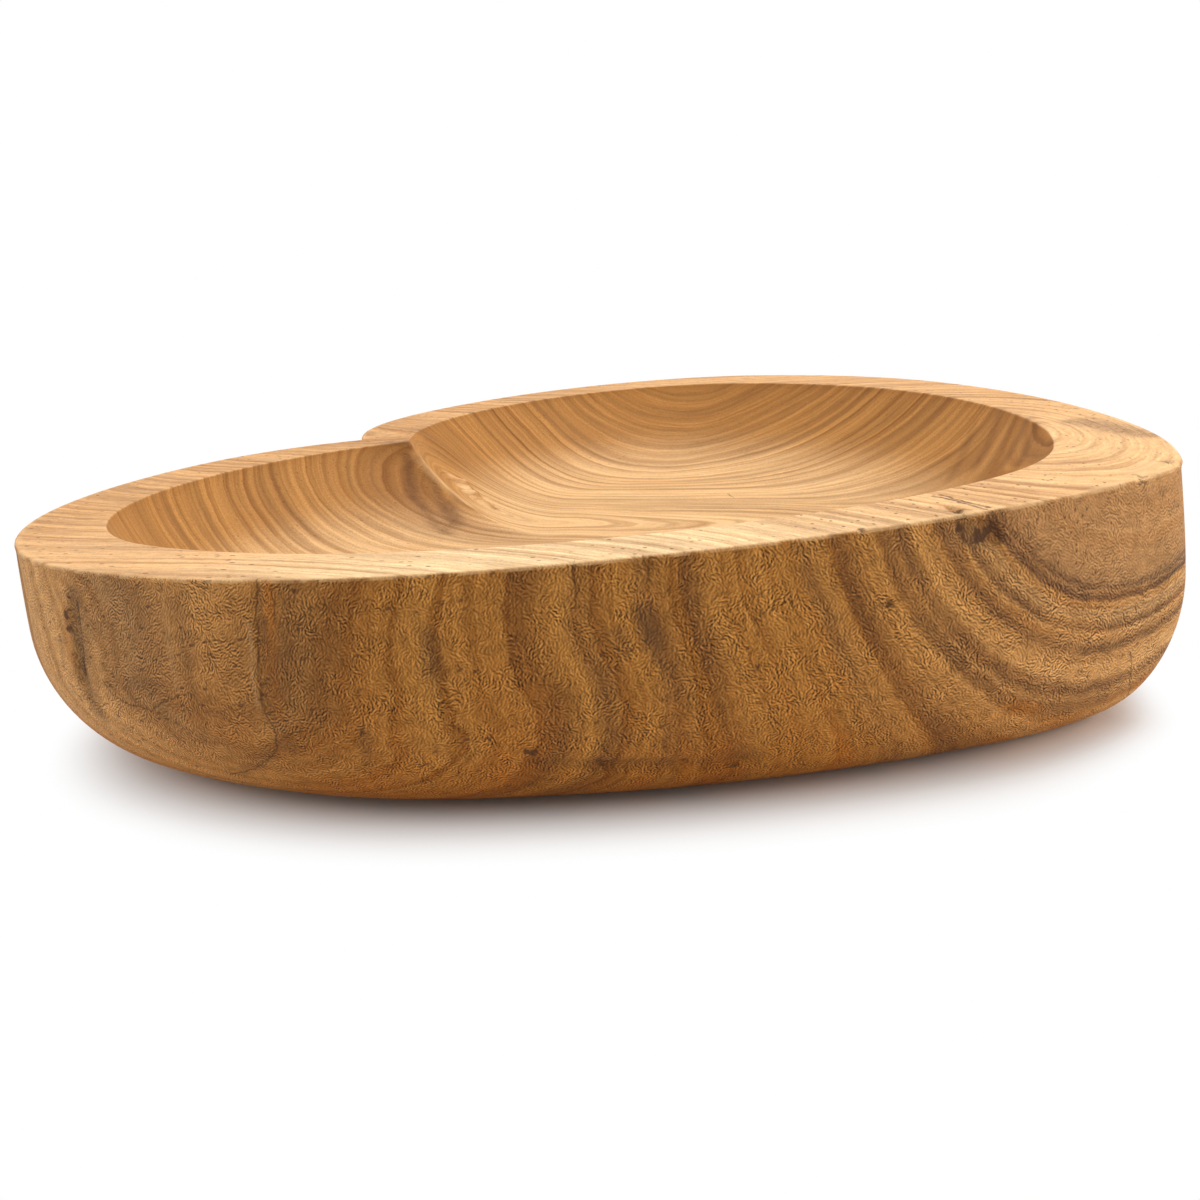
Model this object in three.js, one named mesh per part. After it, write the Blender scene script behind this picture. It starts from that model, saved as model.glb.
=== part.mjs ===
// Heart-shaped bowl carved from one block of wood: a flat rim, an outside wall that swells a little and
// rolls under to a flat base, and a hollow whose two lobes meet in a ridge below the cleft.
// Millimetres, +Z up. The bowl stands on Z = 0 with its tip towards -Y and its lobes towards +Y.
import * as THREE from 'three';

// Outside of the rim, walked from the cleft round one lobe to the tip as arcs that flow into each other
const RIM_HEIGHT = 52;
const CLEFT_HALF_ANGLE = 36.3; // degrees between the axis and each side of the cleft
const CLEFT_FILLET = 1.5;
const CLEFT_RADIUS = 53.7; // from the cleft to the end of a lobe
const LOBE_RADIUS = 83.3; // round the lobe to the widest place
const HAUNCH_RADIUS = 147; // from the widest place to the flank
const NOSE_RADIUS = 117; // from the flank to the tip
const TIP_RADIUS = 22;

// Directions of the outline where one arc hands over to the next, in degrees from the axis
const LOBE_END = 90;
const WIDEST = 0;
const HAUNCH_END = -30;
const FLANK_END = -55;
const NOSE_END = -72;
const TIP_END = -90;

// Outside wall
const WALL_SWELL = 1.4; // how far the wall stands out past the rim
const SWELL_DEPTH = 34; // depth below the rim where it stands out furthest
const RIM_EASE = 1.1; // softened outer edge of the rim
const BASE_ROUND_RISE = 33; // rolled bottom edge round the lobes and flanks
const BASE_ROUND_RUN = 30;
const TIP_ROUND_RISE = 30; // rolled bottom edge at the tip
const TIP_ROUND_RUN = 20.5;
const LEAST_RADIUS = 1.2; // what a rolled edge leaves of the corner that it goes round

// Hollow: the rim's flat land round it, then walls that sweep out into the floor
const SIDE_LAND = 18.3;
const LOBE_LAND = 22.3;
const TIP_LAND = 26;
const CLEFT_LAND = 20.8;
const CUSP_HALF_ANGLE = 42.5; // degrees between the axis and each side of the hollow's cusp
const CUSP_FILLET = 0.6;
const HOLLOW_NOSE_RADIUS = 100;
const HOLLOW_TIP_RADIUS = 50;
const HOLLOW_EASE = 0.8; // softened inner edge of the rim
const SWEEP_DEPTH = 24.7; // from under that edge to where the walls run out level
const LOBE_SLOPE = 62; // degrees from level at the top of the hollow's wall
const TIP_SLOPE = 66;
const RIDGE_SLOPE = 51;
const FLOOR_DISH = 1.5; // how much lower the middle of the floor lies

// Facets: steps in each arc of the outline, fillet first, and in each stretch of the wall
const ARC_STEPS = [5, 9, 16, 8, 8, 6, 6];
const ROUND_STEPS = 9;
const WALL_STEPS = 4;
const EASE_STEPS = 3;
const SWEEP_STEPS = 12;
const FLOOR_STEPS = 4;

const WOOD_COLOUR = 0xc19259;

const { degToRad, lerp, smoothstep } = THREE.MathUtils;
const sine = (degrees) => Math.sin(degToRad(degrees));
const cosine = (degrees) => Math.cos(degToRad(degrees));

// How far an arc goes along the axis, and across it, while its direction turns
const alongArc = (radius, from, to) => radius * (sine(from) - sine(to));
const acrossArc = (radius, from, to) => radius * (cosine(to) - cosine(from));

// The same for a chain of arcs between the given directions
function overArcs(measure, radii, turns) {
  return radii.reduce((total, radius, arc) => total + measure(radius, turns[arc], turns[arc + 1]), 0);
}

// Directions at the ends of the seven arcs: fillet, cleft, lobe, haunch, flank, nose and tip
function turnsFrom(halfAngle) {
  return [LOBE_END, 180 - halfAngle, LOBE_END, WIDEST, HAUNCH_END, FLANK_END, NOSE_END, TIP_END];
}

// Half an outline as stations, from the cleft to the tip. Each has its place along and across the axis,
// its direction, and lean, which goes from 0 in the cleft to 1 at the lobe's end and stays there.
function walkOutline(radii, turns, start) {
  const stations = [{ along: start, across: 0, turn: turns[0], lean: 0 }];
  radii.forEach((radius, arc) => {
    const from = turns[arc];
    const origin = stations.at(-1);
    for (let step = 1; step <= ARC_STEPS[arc]; step += 1) {
      const turn = lerp(from, turns[arc + 1], step / ARC_STEPS[arc]);
      stations.push({
        along: origin.along + alongArc(radius, from, turn),
        across: origin.across + acrossArc(radius, from, turn),
        turn,
        lean: smoothstep(arc - 1 + step / ARC_STEPS[arc], 0, 1),
      });
    }
  });
  return stations;
}

// Outside outline: the flank's radius is the one that brings the tip back to the axis
const outerTurns = turnsFrom(CLEFT_HALF_ANGLE);
const outerRadii = [-CLEFT_FILLET, CLEFT_RADIUS, LOBE_RADIUS, HAUNCH_RADIUS, 0, NOSE_RADIUS, TIP_RADIUS];
const flankAlong = alongArc(1, HAUNCH_END, FLANK_END);
const flankAcross = acrossArc(1, HAUNCH_END, FLANK_END);
outerRadii[4] = -overArcs(acrossArc, outerRadii, outerTurns) / flankAcross;
const cleftDepth = -overArcs(alongArc, outerRadii.slice(0, 2), outerTurns);
const rimLength = overArcs(alongArc, outerRadii.slice(2), outerTurns.slice(2));
const rimHalfWidth = overArcs(acrossArc, outerRadii.slice(0, 3), outerTurns);
const outerOutline = walkOutline(outerRadii, outerTurns, cleftDepth - rimLength / 2);

// Hollow's outline: its cusp, lobe, haunch and flank are the ones that leave the lands round it
const hollowTurns = turnsFrom(CUSP_HALF_ANGLE);
const hollowLength = rimLength - LOBE_LAND - TIP_LAND;
const cuspDepth = cleftDepth + CLEFT_LAND - LOBE_LAND;
const cuspRadius = cuspDepth / (1 - sine(CUSP_HALF_ANGLE)) - CUSP_FILLET;
const hollowLobeRadius = rimHalfWidth - SIDE_LAND - (cuspRadius + CUSP_FILLET) * cosine(CUSP_HALF_ANGLE);
const hollowRadii = [-CUSP_FILLET, cuspRadius, hollowLobeRadius, 0, 0, HOLLOW_NOSE_RADIUS, HOLLOW_TIP_RADIUS];
const alongLeft = hollowLength - overArcs(alongArc, hollowRadii.slice(2), hollowTurns.slice(2));
const acrossLeft = -overArcs(acrossArc, hollowRadii, hollowTurns);
const haunchAlong = alongArc(1, WIDEST, HAUNCH_END);
const haunchAcross = acrossArc(1, WIDEST, HAUNCH_END);
const balance = haunchAlong * flankAcross - flankAlong * haunchAcross;
hollowRadii[3] = (alongLeft * flankAcross - flankAlong * acrossLeft) / balance;
hollowRadii[4] = (haunchAlong * acrossLeft - alongLeft * haunchAcross) / balance;
const hollowOutline = walkOutline(hollowRadii, hollowTurns, LOBE_LAND + cuspDepth - rimLength / 2);

// A ring of the skin: every station moves in from its outline the way it faces, then the half is mirrored
function ring(outline, { insetAt, heightAt, facingAt = (station) => station.turn }) {
  const half = outline.map((station) => {
    const inset = insetAt(station);
    const facing = facingAt(station);
    const x = station.across - inset * cosine(facing);
    const y = -station.along - inset * sine(facing);
    return new THREE.Vector3(x, y, heightAt(station));
  });
  half[0].x = 0;
  half.at(-1).x = 0;
  const mirrored = half.slice(1, -1).reverse().map(({ x, y, z }) => new THREE.Vector3(-x, y, z));
  return [...half, ...mirrored];
}

// The rolled bottom edge is tighter at the tip than round the lobes and flanks
const nearTip = (station) => smoothstep(-station.turn, -HAUNCH_END, -NOSE_END);
const tipRoundRun = Math.min(TIP_ROUND_RUN, TIP_RADIUS + WALL_SWELL - LEAST_RADIUS);
const roundRise = (station) => lerp(BASE_ROUND_RISE, TIP_ROUND_RISE, nearTip(station));
const roundRun = (station) => lerp(BASE_ROUND_RUN, tipRoundRun, nearTip(station));
const swell = (depth) => WALL_SWELL * (1 - (1 - Math.min(depth / SWELL_DEPTH, 1)) ** 2);

// Outside of the bowl, from the edge of the flat base up to the rim
function outsideRings() {
  const rings = [];
  for (let step = 0; step <= ROUND_STEPS; step += 1) {
    const angle = 90 * step / ROUND_STEPS;
    const heightAt = (station) => roundRise(station) * (1 - cosine(angle));
    const insetAt = (station) => {
      return roundRun(station) * (1 - sine(angle)) - swell(RIM_HEIGHT - heightAt(station));
    };
    rings.push(ring(outerOutline, { insetAt, heightAt }));
  }
  for (let step = 1; step <= WALL_STEPS; step += 1) {
    const heightAt = (station) => lerp(roundRise(station), RIM_HEIGHT - RIM_EASE, step / WALL_STEPS);
    const insetAt = (station) => -swell(RIM_HEIGHT - heightAt(station));
    rings.push(ring(outerOutline, { insetAt, heightAt }));
  }
  for (let step = 1; step <= EASE_STEPS; step += 1) {
    const angle = 90 * step / EASE_STEPS;
    const depth = RIM_EASE * (1 - sine(angle));
    const inset = RIM_EASE * (1 - cosine(angle)) - swell(depth);
    rings.push(ring(outerOutline, { insetAt: () => inset, heightAt: () => RIM_HEIGHT - depth }));
  }
  return rings;
}

// How far in a wall has come at a depth, when it starts at a slope and sweeps out level as a circle does
function sweepRun(depth, slope) {
  const radius = SWEEP_DEPTH / (1 - cosine(slope));
  const rest = radius ** 2 - (depth + radius * cosine(slope)) ** 2;
  return radius * sine(slope) - Math.sqrt(Math.max(rest, 0));
}

// The hollow's wall is steepest at the tip and easiest on the ridge, which keeps to the axis all the way
function sweepInset(station, depth) {
  const lobeRun = sweepRun(depth, LOBE_SLOPE);
  const ridgeRun = sweepRun(depth, RIDGE_SLOPE);
  const tipRun = Math.min(sweepRun(depth, TIP_SLOPE), HOLLOW_TIP_RADIUS - LEAST_RADIUS);
  return lerp(lerp(ridgeRun, lobeRun, station.lean), tipRun, nearTip(station));
}

function hollowRing(depth, insetAt) {
  const heightAt = () => RIM_HEIGHT - depth;
  const facingAt = (station) => lerp(LOBE_END, station.turn, station.lean);
  return ring(hollowOutline, { insetAt, heightAt, facingAt });
}

// Inside of the bowl, from the rim down to where the walls run out into the floor
function hollowRings() {
  const rings = [];
  for (let step = 0; step < EASE_STEPS; step += 1) {
    const angle = 90 * step / EASE_STEPS;
    const inset = HOLLOW_EASE * (sine(angle) - 1);
    rings.push(hollowRing(HOLLOW_EASE * (1 - cosine(angle)), () => inset));
  }
  for (let step = 0; step <= SWEEP_STEPS; step += 1) {
    const slopeLeft = LOBE_SLOPE * (1 - step / SWEEP_STEPS);
    const share = (cosine(slopeLeft) - cosine(LOBE_SLOPE)) / (1 - cosine(LOBE_SLOPE));
    const depth = SWEEP_DEPTH * share;
    rings.push(hollowRing(HOLLOW_EASE + depth, (station) => sweepInset(station, depth)));
  }
  return rings;
}

// Floor of the hollow: its edge drawn in to the middle, which lies lowest
function floorRings(edge, middle) {
  const rings = [];
  for (let step = 1; step < FLOOR_STEPS; step += 1) {
    const share = step / FLOOR_STEPS;
    const drop = FLOOR_DISH * smoothstep(share, 0, 1);
    rings.push(edge.map((point) => {
      const drawnIn = point.clone().lerp(middle, share);
      drawnIn.z = point.z - drop;
      return drawnIn;
    }));
  }
  return rings;
}

// One closed skin through all rings, from the middle of the base to the middle of the hollow's floor
function loft(firstPole, rings, lastPole) {
  const count = rings[0].length;
  const points = [firstPole, ...rings.flat(), lastPole];
  const last = points.length - 1;
  const at = (row, place) => 1 + row * count + (place % count);
  const faces = [];
  for (let place = 0; place < count; place += 1) {
    faces.push(0, at(0, place), at(0, place + 1));
    for (let row = 0; row < rings.length - 1; row += 1) {
      faces.push(at(row, place), at(row + 1, place), at(row, place + 1));
      faces.push(at(row, place + 1), at(row + 1, place), at(row + 1, place + 1));
    }
    faces.push(last, at(rings.length - 1, place + 1), at(rings.length - 1, place));
  }
  const geometry = new THREE.BufferGeometry().setFromPoints(points);
  geometry.setIndex(faces);
  geometry.computeVertexNormals();
  return geometry;
}

function carvedBowl() {
  const hollow = hollowRings();
  const floorEdge = hollow.at(-1);
  const floorMiddle = floorEdge[0].clone().lerp(floorEdge[hollowOutline.length - 1], 0.5);
  floorMiddle.z -= FLOOR_DISH;
  const rings = [...outsideRings(), ...hollow, ...floorRings(floorEdge, floorMiddle)];
  const wood = new THREE.MeshStandardMaterial({ color: WOOD_COLOUR, roughness: 0.72, metalness: 0 });
  const bowl = new THREE.Mesh(loft(new THREE.Vector3(), rings, floorMiddle), wood);
  bowl.name = 'bowl';
  return bowl;
}

const heartBowl = new THREE.Group();
heartBowl.add(carvedBowl());

export default heartBowl;
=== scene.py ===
import bpy
import numpy as np
from mathutils import Matrix, Vector


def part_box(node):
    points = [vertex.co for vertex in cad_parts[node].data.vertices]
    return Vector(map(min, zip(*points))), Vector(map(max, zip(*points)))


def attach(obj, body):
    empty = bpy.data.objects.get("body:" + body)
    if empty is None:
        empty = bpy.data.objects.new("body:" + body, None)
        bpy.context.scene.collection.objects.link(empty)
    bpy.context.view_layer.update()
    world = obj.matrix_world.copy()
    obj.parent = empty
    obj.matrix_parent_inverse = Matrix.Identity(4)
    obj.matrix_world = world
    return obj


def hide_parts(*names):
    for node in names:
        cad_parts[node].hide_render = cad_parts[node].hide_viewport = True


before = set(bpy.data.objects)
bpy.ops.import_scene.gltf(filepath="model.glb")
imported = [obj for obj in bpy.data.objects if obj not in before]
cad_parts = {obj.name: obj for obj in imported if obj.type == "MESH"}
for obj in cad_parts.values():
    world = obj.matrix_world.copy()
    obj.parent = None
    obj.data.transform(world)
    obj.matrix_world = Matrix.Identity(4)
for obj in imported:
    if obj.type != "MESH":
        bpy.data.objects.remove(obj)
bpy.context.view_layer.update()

# The bowl is one block of wood. Its heart outline is sawn, the outside is rolled under to a flat base and
# the hollow is carved so that both lobes sweep down to one floor and meet in a ridge below the cleft.
# It is sanded, oiled and left with its open grain, small chips and drying cracks.
RIM_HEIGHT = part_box("bowl")[1].z
CLEFT_HALF_ANGLE = 36.3
CLEFT_FILLET = 0.0015
CLEFT_RADIUS = 0.0537
LOBE_RADIUS = 0.0833
HAUNCH_RADIUS = 0.147
NOSE_RADIUS = 0.117
TIP_RADIUS = 0.022
LOBE_END, WIDEST, HAUNCH_END, FLANK_END, NOSE_END, TIP_END = 90, 0, -30, -55, -72, -90

WALL_SWELL = 0.0014
SWELL_DEPTH = 0.034
RIM_EASE = 0.0006
BASE_ROUND_RISE, BASE_ROUND_RUN = 0.033, 0.030
TIP_ROUND_RISE, TIP_ROUND_RUN = 0.030, 0.0205

SIDE_LAND = 0.0183
LOBE_LAND = 0.0223
TIP_LAND = 0.026
CLEFT_LAND = 0.0208
CUSP_HALF_ANGLE = 42.5
CUSP_FILLET = 0.0006
HOLLOW_NOSE_RADIUS = 0.100
HOLLOW_TIP_RADIUS = 0.050
HOLLOW_EASE = 0.0005
SWEEP_DEPTH = 0.0247
LOBE_SLOPE, TIP_SLOPE, RIDGE_SLOPE = 62, 66, 51
FLOOR_DISH = 0.0015

COLUMNS = 780
BASE_ROWS, ROUND_ROWS, WALL_ROWS, EASE_ROWS, LAND_ROWS, HOLLOW_EASE_ROWS, SWEEP_ROWS, FLOOR_ROWS = (
    4, 30, 26, 5, 19, 4, 27, 9)


def sine(degrees):
    return np.sin(np.radians(degrees))


def cosine(degrees):
    return np.cos(np.radians(degrees))


def smooth(value, low, high):
    """0 below low, 1 above high, and an S curve between them."""
    share = np.clip((value - low) / (high - low), 0, 1)
    return share * share * (3 - 2 * share)


def blend(first, second, share):
    return first + (second - first) * share


def arc_steps(radii, turns):
    """How far each arc goes along the axis, R(sin a - sin b), and across it, R(cos b - cos a)."""
    start, end = turns[:-1], turns[1:]
    return radii * (sine(start) - sine(end)), radii * (cosine(end) - cosine(start))


def turns_from(half_angle):
    """Directions at the ends of the seven arcs: fillet, cleft, lobe, haunch, flank, nose and tip."""
    return np.array([LOBE_END, 180 - half_angle, LOBE_END, WIDEST,
                     HAUNCH_END, FLANK_END, NOSE_END, TIP_END])


FLANK = 4
outer_turns = turns_from(CLEFT_HALF_ANGLE)
outer_radii = np.array([-CLEFT_FILLET, CLEFT_RADIUS, LOBE_RADIUS, HAUNCH_RADIUS,
                        0, NOSE_RADIUS, TIP_RADIUS])
unit_along, unit_across = arc_steps(np.ones(7), outer_turns)
outer_radii[FLANK] = -arc_steps(outer_radii, outer_turns)[1].sum() / unit_across[FLANK]
outer_along, outer_across = arc_steps(outer_radii, outer_turns)
cleft_depth = -outer_along[:2].sum()
rim_length = outer_along[2:].sum()
rim_half_width = outer_across[:3].sum()

hollow_turns = turns_from(CUSP_HALF_ANGLE)
cusp_depth = cleft_depth + CLEFT_LAND - LOBE_LAND
cusp_radius = cusp_depth / (1 - sine(CUSP_HALF_ANGLE)) - CUSP_FILLET
hollow_lobe = rim_half_width - SIDE_LAND - (cusp_radius + CUSP_FILLET) * cosine(CUSP_HALF_ANGLE)
hollow_radii = np.array([-CUSP_FILLET, cusp_radius, hollow_lobe, 0,
                         0, HOLLOW_NOSE_RADIUS, HOLLOW_TIP_RADIUS])
hollow_along, hollow_across = arc_steps(hollow_radii, hollow_turns)
to_share_out = [rim_length - LOBE_LAND - TIP_LAND - hollow_along[2:].sum(), -hollow_across.sum()]
hollow_radii[3:5] = np.linalg.solve([unit_along[3:5], unit_across[3:5]], to_share_out)


def walk(radii, turns, start, arc, share):
    """Places on half an outline: the arcs before are added up, then R(sin a - sin t) and R(cos t - cos a)
    go on from there to the direction t. Gives along, across and t, each as an array."""
    steps = np.array(arc_steps(radii, turns))
    origins = np.cumsum(np.hstack([np.zeros((2, 1)), steps]), axis=1)
    turn = blend(turns[arc], turns[arc + 1], share)
    along = start + origins[0, arc] + radii[arc] * (sine(turns[arc]) - sine(turn))
    across = origins[1, arc] + radii[arc] * (cosine(turn) - cosine(turns[arc]))
    return along, across, turn


# Columns run from the cleft down the right side to the tip and back up the left side.
# They are crowded on the left side, and most of all at the tip, the knot and the cleft.
arc_lengths = np.abs(outer_radii * np.radians(np.diff(outer_turns)))
arc_ends = np.hstack([0, np.cumsum(arc_lengths)])
HALF_WAY = arc_ends[-1]


def between(value, low, high, edge):
    """1 between low and high, and 0 further out than an edge's width."""
    return smooth(value, low - edge, low) * (1 - smooth(value, high, high + edge))


past_tip = np.linspace(-HALF_WAY, HALF_WAY, 4001)
crowding = 0.62 + 0.6 * between(past_tip, -0.01, 0.235, 0.01) + 1.5 * smooth(np.abs(past_tip), 0.394, 0.400)
crowding += 1.2 * (between(past_tip, -0.006, 0.016, 0.004) + between(past_tip, 0.044, 0.055, 0.004))
crowd = np.hstack([0, np.cumsum(crowding[1:] + crowding[:-1])])
rim_place = HALF_WAY + np.interp(np.arange(COLUMNS) / COLUMNS, crowd / crowd[-1], past_tip)
half_place = HALF_WAY - np.abs(rim_place - HALF_WAY)
side = np.where(rim_place <= HALF_WAY, 1.0, -1.0)
arc = np.clip(np.searchsorted(arc_ends, half_place, side="right") - 1, 0, 6)
share = (half_place - arc_ends[arc]) / arc_lengths[arc]
lean = smooth(arc - 1 + share, 0, 1)
straight_lean = np.clip(arc - 1 + share, 0, 1)
outer = walk(outer_radii, outer_turns, cleft_depth - rim_length / 2, arc, share)
hollow = walk(hollow_radii, hollow_turns, LOBE_LAND + cusp_depth - rim_length / 2, arc, share)
near_tip = smooth(-outer[2], -HAUNCH_END, -NOSE_END)
round_rise = blend(BASE_ROUND_RISE, TIP_ROUND_RISE, near_tip)
round_run = blend(BASE_ROUND_RUN, TIP_ROUND_RUN, near_tip)


def ring(outline, inset, height, facing):
    """Rings of the skin: each column moves in from its outline by the inset, the way that it faces."""
    along, across, _ = outline
    x = side * (across - inset * cosine(facing))
    y = -along - inset * sine(facing)
    return np.stack(np.broadcast_arrays(x, y, height), axis=-1)


def swell(depth):
    """The wall stands out as a parabola does, most at the swell's depth and not at all at the rim."""
    return WALL_SWELL * (1 - (1 - np.minimum(depth / SWELL_DEPTH, 1)) ** 2)


def steps(count, first=0.0, last=1.0, with_last=False):
    """A column of evenly spaced shares, one for each row."""
    return np.linspace(first, last, count, endpoint=with_last)[:, None]


def outside_rings():
    """Rolled edge, a quarter of an ellipse; then the swelling wall; then the eased edge of the rim."""
    angle = 90 * steps(ROUND_ROWS)
    height = round_rise * (1 - cosine(angle))
    rolled = ring(outer, round_run * (1 - sine(angle)) - swell(RIM_HEIGHT - height), height, outer[2])
    height = blend(round_rise, RIM_HEIGHT - RIM_EASE, 1 - (1 - steps(WALL_ROWS)) ** 1.7)
    wall = ring(outer, -swell(RIM_HEIGHT - height), height, outer[2])
    angle = 90 * steps(EASE_ROWS, with_last=True)
    depth = RIM_EASE * (1 - sine(angle))
    eased = ring(outer, RIM_EASE * (1 - cosine(angle)) - swell(depth), RIM_HEIGHT - depth, outer[2])
    return rolled, wall, eased


def sweep_run(depth, slope):
    """How far in a wall has come at a depth. It is an arc that starts at a slope and runs out level."""
    radius = SWEEP_DEPTH / (1 - cosine(slope))
    rest = radius ** 2 - (depth + radius * cosine(slope)) ** 2
    return radius * sine(slope) - np.sqrt(np.maximum(rest, 0))


def hollow_rings():
    """Eased inner edge of the rim, then the wall. It is steepest at the tip and easiest on the ridge."""
    facing = blend(LOBE_END, hollow[2], lean)
    angle = 90 * steps(HOLLOW_EASE_ROWS)
    inset = HOLLOW_EASE * (sine(angle) - 1)
    eased = ring(hollow, inset, RIM_HEIGHT - HOLLOW_EASE * (1 - cosine(angle)), facing)
    slope_left = LOBE_SLOPE * (1 - steps(SWEEP_ROWS, with_last=True))
    depth = SWEEP_DEPTH * (cosine(slope_left) - cosine(LOBE_SLOPE)) / (1 - cosine(LOBE_SLOPE))
    run = blend(sweep_run(depth, RIDGE_SLOPE), sweep_run(depth, LOBE_SLOPE), straight_lean)
    run = blend(run, sweep_run(depth, TIP_SLOPE), near_tip)
    wall = ring(hollow, run, RIM_HEIGHT - HOLLOW_EASE - depth, facing)
    return eased, wall


def draw_in(edge, middle, shares):
    """Rings between an edge and a middle point, at shares of the way."""
    return edge[None] + (middle - edge[None]) * shares[..., None]


rolled, wall, rim_edge = outside_rings()
hollow_edge, hollow_wall = hollow_rings()
base = draw_in(rolled[0], np.zeros(3), 1 - steps(BASE_ROWS, first=1 / BASE_ROWS))
land = blend(rim_edge[-1], hollow_edge[0], steps(LAND_ROWS, first=1 / LAND_ROWS)[..., None] ** 1.4)
floor_edge = hollow_wall[-1]
tip_column = np.argmin(np.abs(rim_place - HALF_WAY))
floor_middle = (floor_edge[0] + floor_edge[tip_column]) / 2
floor_shares = steps(FLOOR_ROWS, first=1 / FLOOR_ROWS)
hollow_floor = draw_in(floor_edge, floor_middle, floor_shares)
hollow_floor[..., 2] = floor_edge[:, 2] - FLOOR_DISH * smooth(floor_shares, 0, 1)
floor_middle[2] -= FLOOR_DISH
bands = (base, rolled, wall, rim_edge, land, hollow_edge, hollow_wall, hollow_floor)
skin = np.concatenate(bands)
rows = len(skin)
_, rolled_row, _, rim_row, land_row, hollow_row, _, _ = np.cumsum([0] + [len(band) for band in bands[:-1]])


def inward(places):
    """Unit vectors into the wood: the cross product of the steps along a row and up a column."""
    along = np.roll(places, -1, axis=1) - np.roll(places, 1, axis=1)
    up = np.gradient(places, axis=0)
    across = np.cross(along, up)
    return across / np.maximum(np.linalg.norm(across, axis=-1, keepdims=True), 1e-12)


def off_line(places, start, end):
    """Distance from a straight line between two points."""
    start, end = np.array(start), np.array(end)
    reach = end - start
    share = np.clip(((places - start) @ reach) / max(reach @ reach, 1e-12), 0, 1)
    return np.linalg.norm(places - start - share[..., None] * reach, axis=-1)


# Hand-carved unevenness of the wall, then dents: chips at the tip, the knot, a flaked hole, nicks, pits and
# a low groove. Each dent is a line's start and end, its half width and its depth, in millimetres.
# A depth below nothing is a sliver that stands up beside the ridge.
MM = 0.001
x, y, z = np.moveaxis(skin / MM, -1, 0)
uneven = np.sin(x / 9 + 1.3 * np.sin(z / 11)) * np.sin(y / 12 + z / 17) + np.sin((x + y) / 23 + z / 9)
on_wall = (1 - smooth(np.arange(rows), rim_row - 5, rim_row))[:, None] * smooth(z, 0, 4)
sink = 0.10 * (uneven + 2) * on_wall
DENTS = (((-46, -102.8, 49), (-42, -106, 48), 3.2, 1.0),
         ((-41.3, -98.3, 52), (-44.3, -101.8, 52), 1.1, 1.1),
         ((-12.2, -122, 52.4), (-9, -123.2, 52.4), 1.9, 0.9),
         ((0.5, -124, 52.4), (4, -124.6, 52.4), 1.8, 0.6),
         ((-128.6, 41.5, 45), (-128.9, 43, 28), 2.2, 0.7),
         ((-92.3, -55.4, 52), (-92.8, -55.6, 49), 0.8, 0.5),
         ((-85.2, -65.2, 52), (-85.2, -65.3, 50), 0.8, 0.5),
         ((-59, -92, 52), (-59.8, -91.2, 52), 1.0, 0.7),
         ((-74, -79.3, 31), (-74, -79, 30), 0.9, 0.6),
         ((-57, -95, 39), (-58, -94, 38), 0.9, 0.6),
         ((-72, -71, 10.4), (-71, -71.5, 10), 0.9, 0.5),
         ((-35, -107, 13), (-34, -107, 12.6), 0.9, 0.5),
         ((-119.6, -7, 52), (-121.2, -5.4, 29), 0.9, 0.35),
         ((-96.5, -44.2, 15.6), (-88.6, -53.4, 13.6), 2.6, 0.40),
         ((-88.6, -53.4, 13.6), (-79.1, -63.8, 11.8), 2.6, 0.55),
         ((-79.1, -63.8, 11.8), (-69.7, -74.7, 11.8), 2.6, 0.40),
         ((12, 79, 39.5), (14, 76, 36.3), 2.2, -0.7),
         ((14, 76, 36.3), (11, 69.5, 34), 2.2, -1.0),
         ((11, 69.5, 34), (11, 63.5, 31), 2.0, -0.8),
         ((16.3, 74, 34.6), (11.8, 61.5, 30.4), 1.6, 0.5))
for start, end, half_width, depth in DENTS:
    sink += depth * (1 - smooth(off_line(skin / MM, start, end), 0.35 * half_width, half_width))
skin += inward(skin) * sink[..., None] * MM

# The log that the block came from: its pith runs along the ridge and out over the tip, and its rings are
# a little squashed and slanted
PITH_ACROSS = (0.0279, -0.257, -1.51, 18.5)
PITH_HEIGHT = (0.0370, -0.189, 1.74, -1.8)
RING_SQUASH, RING_SLANT = 0.94, -0.072


def log_places(points):
    """Places in the log: across the pith (squashed), along the log and above the pith (slanted).
    The pith's offset and height are each a + b y + c y squared + d y cubed."""
    x, y, z = np.moveaxis(points, -1, 0)
    across = x - np.polynomial.polynomial.polyval(y, PITH_ACROSS)
    above = z - np.polynomial.polynomial.polyval(y, PITH_HEIGHT)
    return np.stack([across * RING_SQUASH, y, above + across * RING_SLANT], axis=-1)


# Mesh: a grid of quads closed at both poles, the middle of the base and the middle of the hollow's floor
points = np.vstack([np.zeros((1, 3)), skin.reshape(-1, 3), floor_middle[None]])
row, column = np.mgrid[0:rows - 1, 0:COLUMNS]
after = (column + 1) % COLUMNS
quads = 1 + np.stack([row * COLUMNS + column, (row + 1) * COLUMNS + column,
                      (row + 1) * COLUMNS + after, row * COLUMNS + after], axis=-1).reshape(-1, 4)
around = np.arange(COLUMNS)
onward = (around + 1) % COLUMNS
base_fan = np.stack([np.zeros(COLUMNS, int), 1 + around, 1 + onward], axis=-1)
last_row = 1 + (rows - 1) * COLUMNS
floor_fan = np.stack([np.full(COLUMNS, len(points) - 1), last_row + onward, last_row + around], axis=-1)

bowl_mesh = bpy.data.meshes.new("carved_bowl")
bowl_mesh.from_pydata(points.tolist(), [], quads.tolist() + base_fan.tolist() + floor_fan.tolist())
bowl_mesh.shade_smooth()


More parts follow.
